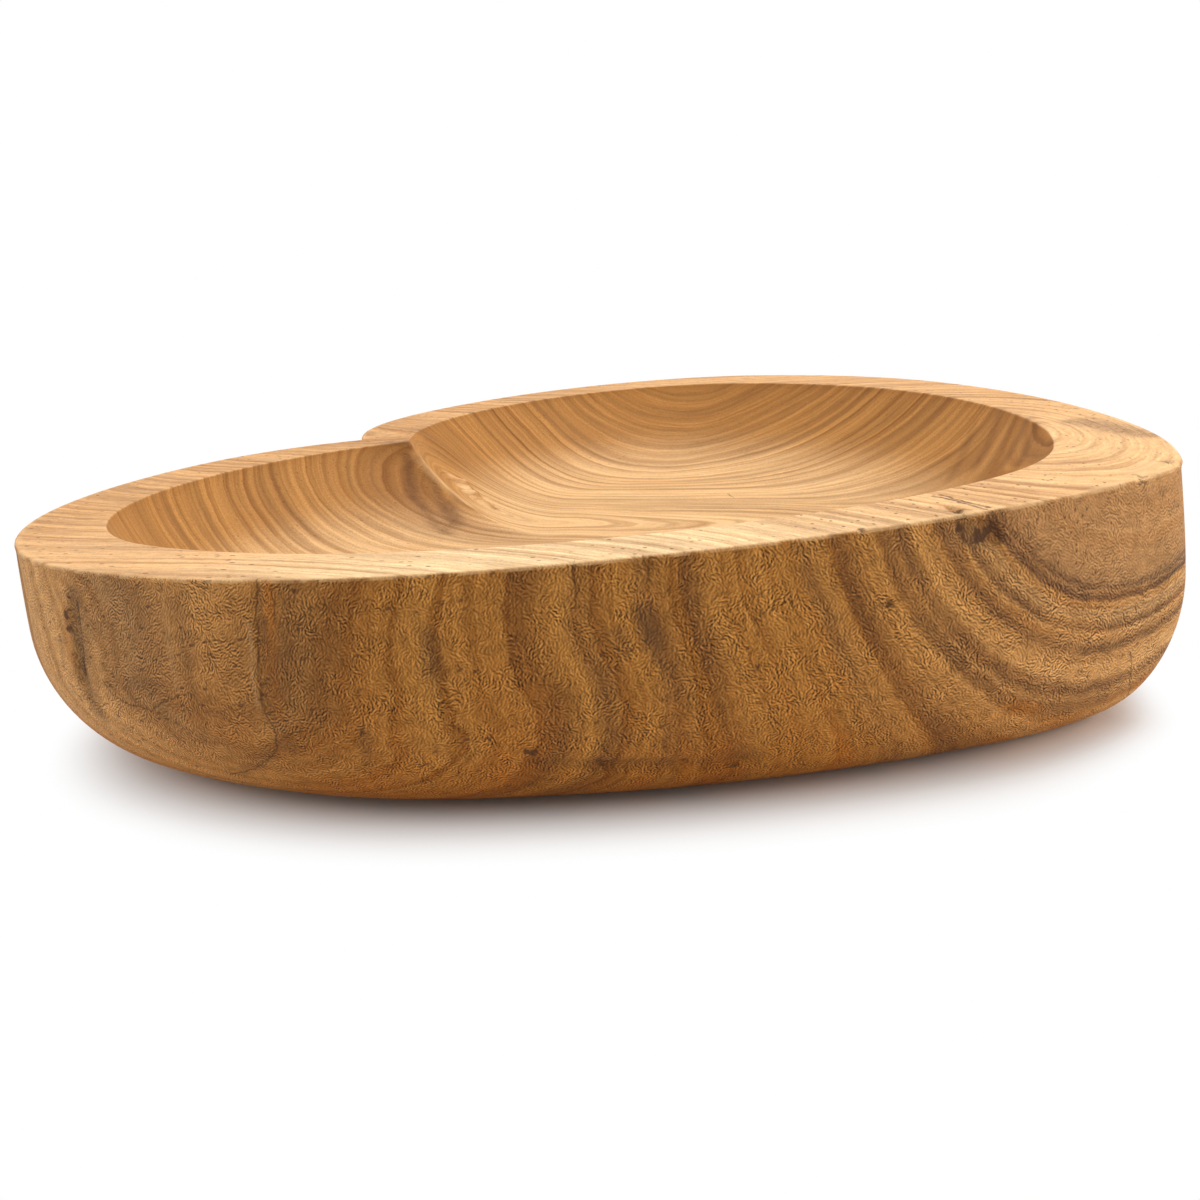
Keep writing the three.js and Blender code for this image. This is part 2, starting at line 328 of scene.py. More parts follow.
def point_attribute(name, values):
    """Stores one number or one vector for each point of the bowl."""
    kind, field = ("FLOAT", "value") if values.ndim == 1 else ("FLOAT_VECTOR", "vector")
    layer = bowl_mesh.attributes.new(name, kind, "POINT")
    layer.data.foreach_set(field, np.ascontiguousarray(values, dtype=np.float32).ravel())


def with_poles(grid):
    """A value for each point of the grid and, at both ends, for the two poles."""
    return np.concatenate([grid[0, :1], grid.reshape(-1, *grid.shape[2:]), grid[-1, :1]])


# Place on the outside, as distance along the outline and up the wall, and the way in which the rings
# widen there
up_wall = np.linalg.norm(np.diff(skin, axis=0, prepend=skin[:1]), axis=-1).cumsum(axis=0)
along_rim = np.broadcast_to(rim_place - HALF_WAY, up_wall.shape)
log_grid = log_places(skin)
ring_radius = np.hypot(log_grid[..., 0], log_grid[..., 2])
wider_along = np.roll(ring_radius, -1, axis=1) - np.roll(ring_radius, 1, axis=1)
wider_along /= np.linalg.norm(np.roll(skin, -1, axis=1) - np.roll(skin, 1, axis=1), axis=-1) + 1e-9
wider_up = np.gradient(ring_radius, axis=0) / (np.linalg.norm(np.gradient(skin, axis=0), axis=-1) + 1e-9)
row_grid = np.broadcast_to(np.arange(rows)[:, None], up_wall.shape)
face_up = -inward(skin)[..., 2]
point_attribute("log", log_places(points))
point_attribute("wall", with_poles(np.stack([along_rim, up_wall, 0 * up_wall], axis=-1)))
point_attribute("wider", with_poles(np.stack([wider_along, wider_up, 0 * up_wall], axis=-1)))
point_attribute("outside", with_poles(1 - smooth(row_grid, rim_row + 1, rim_row + 3)))
point_attribute("hollow", with_poles(smooth(row_grid, hollow_row, hollow_row + HOLLOW_EASE_ROWS)))
point_attribute("edge", with_poles(between(row_grid, rim_row, rim_row + EASE_ROWS, 2)))

# Marks, in millimetres. A crack is a half width and the places that its line joins, and the cracks of one
# list lie well apart. Dark stains (some of them painted shade), pale torn wood (some of it painted
# highlight) and rust are lines with start, end, half width and strength.
CRACKS = ((0.70, ((-128.3, 41.3, 45), (-128.6, 40.9, 39), (-128.8, 43, 30.7))),
          (0.16, ((-119.4, -6.8, 52), (-120.2, -5.9, 46), (-120.6, -5.8, 42), (-121, -5.1, 37),
                  (-121.3, -4.5, 29.3), (-120.1, -5.1, 23.6), (-119.1, -2.9, 18.8), (-118.6, 6.2, 13.3),
                  (-118.2, 15, 10.2))),
          (0.12, ((-92, -55.2, 52), (-92.9, -55.6, 45.5))),
          (0.10, ((-14, -121.4, 19.5), (-10.5, -120.5, 13.6), (-4.5, -118.4, 6.9))),
          (0.40, ((-9.4, -119.8, 52), (-9.9, -120.9, 52), (-11.5, -122, 51.6), (-10, -122.1, 51.9),
                  (-9.1, -122.4, 51.9))),
          (0.40, ((-41.1, -106.4, 49), (-40.2, -107.2, 46))),
          (0.30, ((-32.2, -92.6, 52), (-36.7, -99.1, 52), (-38.9, -103, 52), (-40.1, -105.2, 52))),
          (0.35, ((14.5, 70, 33), (11.8, 61.5, 30.4))))
CRACKS_BESIDE = ((0.15, ((-128.6, 35.8, 30.7), (-128.4, 33.7, 27.8), (-127.8, 29.9, 26.1),
                         (-127, 22.6, 25.7), (-126.8, 18.9, 27.8), (-126.1, 13.9, 29.8))),
                 (0.15, ((-118.7, -9.6, 50.7), (-119.3, -9.4, 44.4))),
                 (0.32, ((-33.6, -92, 52), (-36.4, -97.3, 52), (-39, -101.3, 52), (-41.5, -105, 52))),
                 (0.12, ((-85.1, -64.8, 52), (-85, -65.4, 47.9))),
                 (0.45, ((3, -120.7, 52), (3.1, -121.7, 52), (2.2, -122.7, 52), (4, -123, 52))),
                 (0.35, ((-12.7, -121.9, 51.1), (-11.7, -122.2, 51.2), (-10.7, -122.6, 51.1))),
                 (0.40, ((-42.6, -100.9, 52), (-44.9, -101.4, 52), (-45.3, -102.9, 51.3),
                         (-44.6, -103.9, 49.4))),
                 (0.30, ((63.2, 16, 26.5), (54.4, 9.4, 26.4))))
# Those down the ridge's near flank are partly dark grain and partly painted shade, the last line is the
# painted shadow beside the sliver, and those along the long wavy crack in the front wall are partly painted
# shade.
DARK_STAINS_AND_SHADE = (((-46.1, -102.6, 49.1), (-42, -105.8, 48), 4.2, 0.72),
           ((-41.3, -98.1, 52), (-44.9, -102.2, 52), 2.0, 0.45),
           ((-128.3, 41, 46), (-128.7, 42.6, 30), 4.4, 0.98),
           ((-128.5, 39, 42), (-128.8, 40, 33), 4.5, 0.40),
           ((-128.8, 42, 30), (-127.6, 42.5, 22), 4.0, 0.62),
           ((-128.3, 44.8, 42), (-128.4, 45.1, 39.9), 1.8, 0.70),
           ((-128.4, 49.4, 37), (-128.5, 49.8, 33), 1.6, 0.40),
           ((-128, 29, 30), (-127.2, 20, 31), 3.0, 0.40),
           ((-125.2, 10.5, 30), (-124.8, 9.5, 51), 3.0, 0.30),
           ((-119.7, -7.4, 45), (-120.3, -6.2, 24), 1.6, 0.55),
           ((-120, -4.6, 20), (-118, 12, 11.5), 2.6, 0.35),
           ((-107.3, -34.5, 41), (-107.5, -34.8, 35), 3.0, 0.70),
           ((-86.3, -64.5, 42), (-85.8, -65.4, 38), 3.6, 0.80),
           ((-85.5, -65.9, 38), (-82, -68, 27), 2.8, 0.45),
           ((-89, -61, 39), (-88.5, -61.5, 36), 2.6, 0.45),
           ((-119.8, -8.8, 39), (-118.4, -6.5, 19.7), 2.2, 0.40),
           ((-113.5, -21.6, 24), (-112, -19, 16), 2.6, 0.45),
           ((-53.2, -98, 34.7), (-47.1, -102.6, 25.4), 2.6, 0.45),
           ((-96.5, -44.2, 15.6), (-88.6, -53.4, 13.6), 3.0, 0.40),
           ((-88.6, -53.4, 13.6), (-79.1, -63.8, 11.8), 3.0, 0.55),
           ((-79.1, -63.8, 11.8), (-69.7, -74.7, 11.8), 2.8, 0.45),
           ((-0.4, 88, 52), (-0.5, 82, 51.6), 4.0, 0.50),
           ((45.1, -91.7, 52), (30, -112, 52), 6.5, 0.65),
           ((51.4, -65.4, 39.8), (60.8, -67.7, 51), 3.4, 0.50),
           ((42.5, -75.4, 41.9), (48.2, -79.4, 52), 3.6, 0.55),
           ((52.9, -58.1, 35.9), (65.1, -58.5, 45.5), 3.0, 0.40),
           ((47, -70, 40.5), (54.5, -74, 51), 2.6, 0.40),
           ((36, -82, 44), (42, -84, 51), 4.0, 0.50),
           ((-2.2, 81, 48), (-8.2, 74.3, 38), 2.8, 0.90),
           ((-8.2, 74.3, 38), (-11.8, 58.6, 29.4), 2.8, 0.75),
           ((-0.9, 74, 42.6), (-6.4, 63.4, 32.7), 2.2, 0.75),
           ((-4, 65.4, 34.8), (-7.3, 59.8, 30.9), 4.0, 0.80),
           ((16.3, 74, 34.6), (11.8, 61.5, 30.4), 1.8, 0.50))
# The line down the ridge's crest is a painted highlight, and the three on the sliver are partly torn wood
# and partly painted highlight.
TORN_AND_HIGHLIGHTS = (((-126.2, 14, 31), (-125.8, 14.3, 50), 0.9, 0.12),
         ((-121, -4.4, 44), (-121.6, -3.4, 29), 0.8, 0.20),
         ((12, 79, 39.5), (14, 76, 36.3), 1.3, 0.60),
         ((14, 76, 36.3), (11, 69.5, 34), 1.5, 0.90),
         ((11, 69.5, 34), (11, 63.5, 31), 1.4, 0.90),
         ((0, 86, 51), (0.9, 62, 34), 2.4, 0.45),
         ((-9, -120.3, 52), (2, -120.3, 52), 2.5, 0.5),
         ((-43.4, -101.6, 52), (-42.8, -103.8, 52), 1.3, 0.6))
RUSTED = (((-118.8, -9, 51), (-119.4, -8.7, 44.4), 1.8, 0.9),
          ((-119.8, -7.9, 43), (-120.4, -6.9, 27.4), 2.6, 0.6),
          ((-35.2, -106.6, 14), (-30, -110, 11), 3.0, 0.7),
          ((-128.3, 45, 43), (-128.4, 46, 33), 2.6, 0.5))
marked = skin / MM


def crack_field(cracks):
    """Distance beside the nearest crack, with a sign for the side that a point lies on, and the crack's
    half width, which falls below nothing past its ends and well away from it."""
    lines = [(start, end, width) for width, places in cracks for start, end in zip(places, places[1:])]
    start, end = np.array([line[0] for line in lines]), np.array([line[1] for line in lines])
    width = np.array([line[2] for line in lines])
    reach = end - start
    length = np.linalg.norm(reach, axis=-1)
    flat = marked.reshape(-1, 1, 3)
    along = ((flat - start) * reach).sum(axis=-1) / length
    gap = flat - start - (np.clip(along, 0, length) / length)[..., None] * reach
    left = (np.cross(-inward(skin).reshape(-1, 1, 3), reach[None]) * gap).sum(axis=-1)
    beside = np.linalg.norm(gap, axis=-1)
    nearest = np.argmin(beside, axis=1)
    every = np.arange(len(flat))
    past_end = np.maximum(-along, along - length)[every, nearest]
    near = (1 - smooth(beside[every, nearest], 5, 8)) * (1 - smooth(past_end, 0, 1.5))
    offset = np.copysign(beside[every, nearest], left[every, nearest])
    half_width = blend(-0.8, width[nearest], near)
    return (np.stack([offset, half_width, 0 * offset], axis=-1) * MM).reshape(skin.shape)


def deepest(marks, core):
    """Strength of the strongest mark at each point. A mark is whole up to a core's share of its half width
    from its line, and gone at the half width."""
    return np.max([strength * (1 - smooth(off_line(marked, start, end), core * half_width, half_width))
                   for start, end, half_width, strength in marks], axis=0)


point_attribute("crack", with_poles(crack_field(CRACKS)))
point_attribute("crack_beside", with_poles(crack_field(CRACKS_BESIDE)))
point_attribute("rusted", with_poles(deepest(RUSTED, 0.2)))
point_attribute("stain_and_shade", with_poles(deepest(DARK_STAINS_AND_SHADE, 0.1)))
point_attribute("torn_and_highlit", with_poles(deepest(TORN_AND_HIGHLIGHTS, 0.2)))
# How far each point faces up; the hollow's floor is given paler colours by it, as painted light from above
point_attribute("level", with_poles(smooth(face_up, 0.72, 0.99)))

# Layout for baking: the top seen from above, both halves of the wall as strips, and a smaller base
SHEET = 0.39
HALF_STRIP, STRIP_HEIGHT = 0.165, 0.072


def corners(grid):
    """The values at the four corners of every quad, with the last column joined to the one after it."""
    unrolled = np.concatenate([grid, grid[:, :1]], axis=1)
    return np.stack([unrolled[:-1, :-1], unrolled[1:, :-1], unrolled[1:, 1:], unrolled[:-1, 1:]], axis=2)


def from_above(places, scale, left, bottom):
    """Places on the sheet, as seen from above, with the middle of the bowl at left and bottom."""
    across, up = left + scale * places[..., 0] / SHEET, bottom + scale * places[..., 1] / SHEET
    return np.stack([across, up], axis=-1)


seen = corners(skin)
past = np.append(rim_place - HALF_WAY, HALF_WAY)
past_corners = np.stack([past[:-1], past[:-1], past[1:], past[1:]], axis=-1)[None]
second_half = (past_corners.mean(axis=-1, keepdims=True) > 0).astype(float)
strip_x = 0.01 + 0.98 * (past_corners + HALF_WAY * (1 - second_half)) / HALF_WAY
strip_y = corners(up_wall - up_wall[rolled_row]) / STRIP_HEIGHT * HALF_STRIP + 0.66 + 0.17 * second_half
strip = np.stack(np.broadcast_arrays(strip_x, strip_y), axis=-1)
quad_row = np.arange(rows - 1)[:, None, None, None]
sheet_places = np.where(quad_row < land_row - 1, strip, from_above(seen, 1.0, 0.34, 0.33))
sheet_places = np.where(quad_row < rolled_row, from_above(seen, 0.5, 0.84, 0.20), sheet_places)
base_places = from_above(points[base_fan], 0.5, 0.84, 0.20)
floor_places = from_above(points[floor_fan], 1.0, 0.34, 0.33)
layout = bowl_mesh.uv_layers.new(name="OFBake")
layout_parts = [part.reshape(-1) for part in (sheet_places, base_places, floor_places)]
layout.data.foreach_set("uv", np.concatenate(layout_parts))

wood = bpy.data.materials.new("oiled_wood")
wood.use_nodes = True
nodes, links = wood.node_tree.nodes, wood.node_tree.links
nodes.clear()


def put(socket, value):
    """Links a socket to another one, or sets its value."""
    if isinstance(value, bpy.types.NodeSocket):
        links.new(value, socket)
    else:
        socket.default_value = value


def node(kind, inputs, output=0, **settings):
    """One shader node with its settings and inputs. Gives its named or numbered output."""
    made = nodes.new(kind)
    for name, value in settings.items():
        setattr(made, name, value)
    for key, value in inputs.items():
        put(made.inputs[key], value)
    return made.outputs[output]


def calc(operation, *values):
    return node("ShaderNodeMath", dict(enumerate(values)), operation=operation)


def times(*values):
    total = values[0]
    for value in values[1:]:
        total = calc("MULTIPLY", total, value)
    return total


def plus(*values):
    total = values[0]
    for value in values[1:]:
        total = calc("ADD", total, value)
    return total


def vector_calc(operation, first, second=(0, 0, 0), output="Vector"):
    return node("ShaderNodeVectorMath", {0: first, 1: second}, output, operation=operation)


def stretch(vector, scale):
    return vector_calc("MULTIPLY", vector, scale)


def speckle(vector, size, detail=2.0, output="Fac"):
    """Noise with lumps of about the given size in metres."""
    return node("ShaderNodeTexNoise", {"Vector": vector, "Scale": 1 / size, "Detail": detail}, output)


def stripes(length, size, detail=1.0):
    """Noise that changes along one length only, with stripes of about the given size."""
    inputs = {"W": length, "Scale": 1 / size, "Detail": detail}
    return node("ShaderNodeTexNoise", inputs, noise_dimensions="1D")


def ramp(value, low, high, to_low=0.0, to_high=1.0):
    inputs = {"Value": value, "From Min": low, "From Max": high, "To Min": to_low, "To Max": to_high}
    return node("ShaderNodeMapRange", inputs, interpolation_type="SMOOTHSTEP")


def swing(value, amount):
    """Noise of 0 to 1 made to swing by an amount to either side of nothing."""
    return times(calc("SUBTRACT", value, 0.5), 2 * amount)


def mixed(share, first, second, blend_type="MIX"):
    made = nodes.new("ShaderNodeMix")
    made.data_type, made.blend_type = "RGBA", blend_type
    put(made.inputs[0], share)
    put(made.inputs[6], first)
    put(made.inputs[7], second)
    return made.outputs[2]


def scaled(colour, amount):
    """A colour made lighter or darker by a factor."""
    return vector_calc("MULTIPLY", colour, node("ShaderNodeCombineXYZ", {0: amount, 1: amount, 2: amount}))


def attribute(name, output="Fac"):
    """A number, or with the output Vector a vector, that the mesh stores for each point."""
    return node("ShaderNodeAttribute", {}, output, attribute_name=name)


place = node("ShaderNodeTexCoord", {}, "Object")
log = attribute("log", "Vector")
wall_place = attribute("wall", "Vector")
wider = attribute("wider", "Vector")
outside = attribute("outside")
in_hollow = attribute("hollow")
edge = attribute("edge")
level = attribute("level")
crack_place = attribute("crack", "Vector")
crack_place_beside = attribute("crack_beside", "Vector")
stain_and_shade = attribute("stain_and_shade")
torn_and_highlit = attribute("torn_and_highlit")
rusted = attribute("rusted")


def parts(vector):
    """The three lengths of a vector."""
    made = nodes.new("ShaderNodeSeparateXYZ")
    put(made.inputs[0], vector)
    return made.outputs


place_x, place_y, place_z = parts(place)
past_tip_x, _, _ = parts(wall_place)
sanded = calc("SUBTRACT", 1.0, outside)
on_land = times(sanded, calc("SUBTRACT", 1.0, in_hollow))

# Growth rings: distance from the pith, a little ragged, and wavy except at the tip
RING_WIDTH, BAND_WIDTH = 0.0031, 0.0078
true_radius = vector_calc("LENGTH", stretch(log, (1, 0, 1)), output="Value")
wavy = swing(speckle(stretch(log, (1, 0.2, 1)), 0.024, 1.0), 0.0028)
ragged = swing(speckle(stretch(log, (1, 0.35, 1)), 0.0032, 2.0), 0.0008)
calm = ramp(calc("ABSOLUTE", past_tip_x), 0.055, 0.110, 0.15, 1.0)
radius = plus(true_radius, times(wavy, calm), times(ragged, ramp(outside, 0.0, 1.0, 0.45, 1.0)))


def late_wood(width, drift):
    """Rings that darken slowly outwards and end sharply, each with its own strength."""
    count = plus(calc("DIVIDE", radius, width), swing(stripes(radius, 4.5 * width), drift))
    phase = calc("FRACT", count)
    strength = node("ShaderNodeTexWhiteNoise", {"W": calc("FLOOR", count)}, noise_dimensions="1D")
    tone = times(ramp(phase, 0.10, 0.90), ramp(phase, 0.91, 1.0, 1.0, 0.0))
    return times(tone, ramp(strength, 0.0, 1.0, 0.15, 1.0))


def ring_streaks(width, length, detail=2.0):
    """Noise drawn out along the rings: streaks of about the given width and length."""
    share = width / length
    drawn = node("ShaderNodeCombineXYZ", {0: radius, 1: times(place_x, share), 2: times(place_y, share)})
    return speckle(drawn, width, detail)


late = late_wood(RING_WIDTH, 0.9)
banded = late_wood(BAND_WIDTH, 0.9)
fine = stripes(radius, 0.0009, 2.0)
broad = stripes(radius, 0.0110, 1.0)

# Rings that stand out, from the pith outwards: distance and depth in tone
OUTERMOST = 0.16
INNER_RINGS = ((0.0180, 0.75), (0.0222, 0.80), (0.0258, 0.60), (0.0300, 0.65), (0.0430, 0.60),
               (0.0468, 0.45), (0.0530, 0.35), (0.0646, 0.85), (0.0680, 0.80), (0.0746, 0.60))
OUTER_RINGS = ((0.0776, 0.50), (0.0856, 0.60), (0.0906, 0.50), (0.1066, 0.55), (0.1126, 0.60),
               (0.1200, 0.60), (0.1256, 0.60), (0.1414, 0.60))


def dark_rings(rings, rise, fall):
    """A strip of tones over the radius: each ring darkens over the rise and ends over the fall."""
    strip = nodes.new("ShaderNodeValToRGB")
    put(strip.inputs[0], calc("DIVIDE", radius, OUTERMOST))
    stops = strip.color_ramp.elements
    stops.remove(stops[1])
    stops[0].position, stops[0].color = 0.0, (0, 0, 0, 1)
    for at, depth in rings:
        for position, tone in ((at - rise, 0.0), (at - 0.0002, depth), (at + fall, 0.0)):
            stop = stops.new(position / OUTERMOST)
            stop.color = (tone, tone, tone, 1)
    return strip.outputs[0]


darkest = plus(dark_rings(INNER_RINGS, 0.0026, 0.0008), dark_rings(OUTER_RINGS, 0.0044, 0.0010))
patchy = speckle(stretch(log, (1, 0.3, 1)), 0.016, 2.0)
darkest = times(darkest, ramp(patchy, 0.3, 0.6, 0.45, 1.0))

RIM_PALE, RIM_SHADE = (0.94, 0.650, 0.355, 1), (0.50, 0.275, 0.115, 1)
HOLLOW_PALE, HOLLOW_SHADE = (0.485, 0.230, 0.062, 1), (0.250, 0.098, 0.023, 1)
FLOOR_PALE, FLOOR_SHADE = (0.79, 0.490, 0.235, 1), (0.47, 0.248, 0.095, 1)
WALL_PALE, WALL_SHADE = (0.440, 0.200, 0.043, 1), (0.212, 0.075, 0.012, 1)
END_PALE, END_SHADE = (0.60, 0.332, 0.126, 1), (0.37, 0.177, 0.056, 1)
SANDED_DARK, DARK = (0.20, 0.084, 0.026, 1), (0.10, 0.042, 0.018, 1)
TIP_FACE, TIP_RING = (0.385, 0.192, 0.072, 1), (0.080, 0.038, 0.022, 1)
DARK_CORE_AND_SHADE, RUST = (0.25, 0.095, 0.026, 1), (0.38, 0.135, 0.020, 1)
FLECK, TORN_HIGHLIGHT_COLOUR = (0.62, 0.385, 0.170, 1), (0.78, 0.50, 0.245, 1)
STAIN_SHADE_COLOUR, HOLLOW_STAIN_SHADE_COLOUR, CRACK = (0.085, 0.040, 0.018, 1), (0.13, 0.052, 0.017, 1), (0.072, 0.032, 0.014, 1)
line_streak = ring_streaks(0.0009, 0.014, 2.0)
flat_tip = times(on_land, ramp(place_x, -0.004, 0.012), ramp(place_y, -0.095, -0.070, 1.0, 0.0))
by_crest = times(ramp(place_x, -0.001, 0.003), ramp(place_x, 0.010, 0.022, 1.0, 0.0),
                 ramp(place_y, 0.048, 0.062))
quiet = calc("MAXIMUM", flat_tip, times(by_crest, in_hollow))
ring_tone = plus(times(late, ramp(outside, 0.0, 1.0, 0.55, 0.34)), times(banded, outside, 0.60))
ring_tone = times(ring_tone, ramp(quiet, 0.0, 1.0, 1.0, 0.12))
sharp = ramp(outside, 0.0, 1.0, 0.85, 0.95)
line_tone = times(plus(calc("SUBTRACT", 0.5, fine), calc("SUBTRACT", line_streak, 0.5)), sharp)
grain = node("ShaderNodeClamp", {0: plus(ring_tone, line_tone, times(broad, 0.50), -0.08)})
# The wall is paler towards both ends: partly paler wood and partly painted sheen and side light
at_end = calc("MAXIMUM", ramp(past_tip_x, 0.150, 0.235), ramp(past_tip_x, 0.000, 0.085, 1.0, 0.0))
# In the hollow, the paler floor colours go where the surface faces up: painted light from above
pale = mixed(in_hollow, RIM_PALE, mixed(level, HOLLOW_PALE, FLOOR_PALE))
shade = mixed(in_hollow, RIM_SHADE, mixed(level, HOLLOW_SHADE, FLOOR_SHADE))
colour = mixed(grain, mixed(outside, pale, mixed(at_end, WALL_PALE, END_PALE)),
               mixed(outside, shade, mixed(at_end, WALL_SHADE, END_SHADE)))
darkest = times(darkest, ramp(outside, 0.0, 1.0, 0.65, 0.98), ramp(quiet, 0.0, 1.0, 1.0, 0.1))
colour = mixed(darkest, colour, mixed(outside, SANDED_DARK, DARK))
# The rim is made darker and browner away from its near flank, and more so at the back
near_flank = times(ramp(past_tip_x, 0.030, 0.105), ramp(past_tip_x, 0.135, 0.215, 1.0, 0.0))
far_rim = times(on_land, calc("SUBTRACT", 1.0, near_flank))
colour = mixed(far_rim, colour, vector_calc("MULTIPLY", colour, (0.87, 0.74, 0.62)))
far_side = ramp(past_tip_x, -0.100, -0.040, 0.5, 0.0)
back_rim = times(on_land, calc("MAXIMUM", ramp(calc("ABSOLUTE", past_tip_x), 0.235, 0.300), far_side))
colour = mixed(back_rim, colour, vector_calc("MULTIPLY", colour, (0.84, 0.79, 0.71)))

# The tip's face is pale inside one dark ring
tip_face = times(outside, ramp(past_tip_x, 0.048, 0.066, 1.0, 0.0))
inside_ring = ramp(radius, 0.0545, 0.0594, 1.0, 0.0)
colour = mixed(times(tip_face, inside_ring, 0.65), colour, TIP_FACE)
tip_stain = dark_rings(((0.0595, 0.60),), 0.0070, 0.0003)
tip_ring = plus(tip_stain, dark_rings(((0.0576, 0.35), (0.0595, 0.45), (0.0623, 0.55)), 0.0014, 0.0004))
tip_ring = times(tip_ring, ramp(patchy, 0.3, 0.6, 0.75, 1.0))
colour = mixed(times(tip_ring, tip_face), colour, TIP_RING)

# Darker brown near the pith on the ridge's near flank only: partly heartwood and partly painted shade on
# that flank; and rust tints low in the wall
core_and_flank_shade = times(ramp(true_radius, 0.010, 0.027, 1.0, 0.0), ramp(place_x, -0.007, 0.001, 1.0, 0.0), in_hollow)
colour = mixed(times(core_and_flank_shade, 0.65), colour, DARK_CORE_AND_SHADE)
rusty = times(ramp(ring_streaks(0.0042, 0.040, 2.0), 0.47, 0.63), ramp(place_z, 0.006, 0.042, 1.0, 0.15))
colour = mixed(plus(times(rusty, outside, 0.55), times(rusted, 0.8)), colour, RUST)

# Open grain of the wall: short fibres in patches, many of them along the rings
turned = speckle(place, 0.0032, 2.0)
wider_x, wider_y, _ = parts(wider)
across_fibres = plus(calc("ARCTAN2", wider_y, wider_x), swing(turned, 3.2),
                     ramp(past_tip_x, 0.165, 0.200, 0.0, 1.5))
FIBRE_INPUTS = {0: wall_place, 1: 1 / 0.00078, 2: 1.15, 3: 0.55, 4: across_fibres}
fibre_field = node("ShaderNodeTexGabor", FIBRE_INPUTS, "Value", gabor_type="2D")
fibre = ramp(fibre_field, 0.28, 0.72)
smooth_ends = calc("MAXIMUM", ramp(past_tip_x, 0.205, 0.240), times(tip_face, inside_ring))
patches = ramp(speckle(place, 0.0055, 2.0), 0.35, 0.65, 0.45, 1.0)
fibre_strength = times(outside, patches, ramp(smooth_ends, 0.0, 1.0, 1.0, 0.55))
mottle = speckle(place, 0.0019, 2.0)
grit = speckle(place, 0.00042, 1.0)
fleck = times(ramp(fibre_field, 0.66, 0.80), fibre_strength)
lightness = plus(1.0, times(swing(fibre, 0.70), fibre_strength), times(swing(mottle, 0.40), outside))
colour = scaled(colour, plus(lightness, swing(grit, 0.28)))
colour = mixed(times(fleck, 0.42), colour, FLECK)

# Sanded grain of the rim and the hollow: dashes along the rings
dash = ramp(ring_streaks(0.0005, 0.0032, 1.0), 0.36, 0.64)
streak = ramp(ring_streaks(0.0013, 0.030, 2.0), 0.25, 0.75)
streaked = plus(times(swing(streak, 0.13), sanded), times(swing(dash, 0.08), on_land))
colour = scaled(colour, plus(1.0, streaked))

# Pores
pore_place = stretch(log, (1, 0.45, 1))
pore_field = node("ShaderNodeTexVoronoi", {"Vector": pore_place, "Scale": 1 / 0.0016}, "Distance")
pore_choice = node("ShaderNodeTexVoronoi", {"Vector": pore_place, "Scale": 1 / 0.0016}, "Color")
chosen = ramp(vector_calc("DOT_PRODUCT", pore_choice, (1, 0, 0), "Value"), 0.42, 0.47)
pores = times(ramp(pore_field, 0.14, 0.23, 1.0, 0.0), chosen, ramp(patchy, 0.36, 0.55))
colour = mixed(times(pores, ramp(in_hollow, 0.0, 1.0, 0.7, 0.15)), colour, DARK)

# Dark stains, partly painted shade; cracks; and torn places, partly painted highlights
jitter = speckle(place, 0.0017, 3.0)
stained_and_shaded = times(stain_and_shade, ramp(plus(jitter, times(fibre, 0.3)), 0.35, 0.85, 1.0, 0.60))
colour = mixed(stained_and_shaded, colour, mixed(in_hollow, STAIN_SHADE_COLOUR, HOLLOW_STAIN_SHADE_COLOUR))


def crack_line(field):
    """Dark inside the crack's own half width, with a ragged edge."""
    beside, half_width, _ = parts(field)
    inside = calc("SUBTRACT", calc("ABSOLUTE", plus(beside, swing(jitter, 0.0007))), half_width)
    return ramp(inside, -0.00020, 0.00025, 0.80, 0.0)


# Pits: place and radius, in millimetres
PITS = ((-74, -79, 30.5, 0.8), (-57.6, -94.1, 38.4, 0.8), (-71.8, -70.5, 10.3, 0.9),
        (-35, -106.6, 12.8, 0.8), (-59.2, -91.2, 51.8, 0.8), (-42.8, -104.3, 47.6, 1.2),
        (-45.3, -102.3, 49.2, 0.8), (-41, -105.6, 48.6, 0.8), (-42.3, -99.6, 51.2, 1.2),
        (-43.8, -100, 51.2, 1.1), (-128.3, 44.8, 42, 0.8), (-128.4, 45.1, 39.8, 0.8),
        (-128.4, 49.4, 37, 0.7), (-97.2, -45.4, 18, 1.0), (-88.6, -53.4, 13.6, 1.1),
        (-78.7, -64.7, 12.2, 0.9), (-113.9, -22.3, 29.5, 0.6), (-113.4, -21.5, 24, 0.6),
        (-117.2, -13.4, 50, 0.5), (-116.2, -16.3, 47, 0.5))
off_pits = 1.0
for *pit, pit_radius in PITS:
    off_pit = vector_calc("DISTANCE", place, [length * MM for length in pit], "Value")
    off_pits = calc("MINIMUM", off_pits, calc("SUBTRACT", off_pit, pit_radius * MM))
pitted = ramp(plus(off_pits, swing(jitter, 0.0018)), -0.0004, 0.0004, 0.88, 0.0)
lined = calc("MAXIMUM", crack_line(crack_place), crack_line(crack_place_beside))
crack = calc("MAXIMUM", times(lined, ramp(mottle, 0.3, 0.6, 0.55, 1.0)), pitted)
colour = mixed(crack, colour, CRACK)
# Pale along the rim's eased edge, partly wear and partly a painted highlight, and on torn places
worn_and_highlit_edge = times(edge, ramp(speckle(place, 0.004, 3.0), 0.35, 0.6))
colour = mixed(plus(times(worn_and_highlit_edge, 0.45), torn_and_highlit), colour, TORN_HIGHLIGHT_COLOUR)
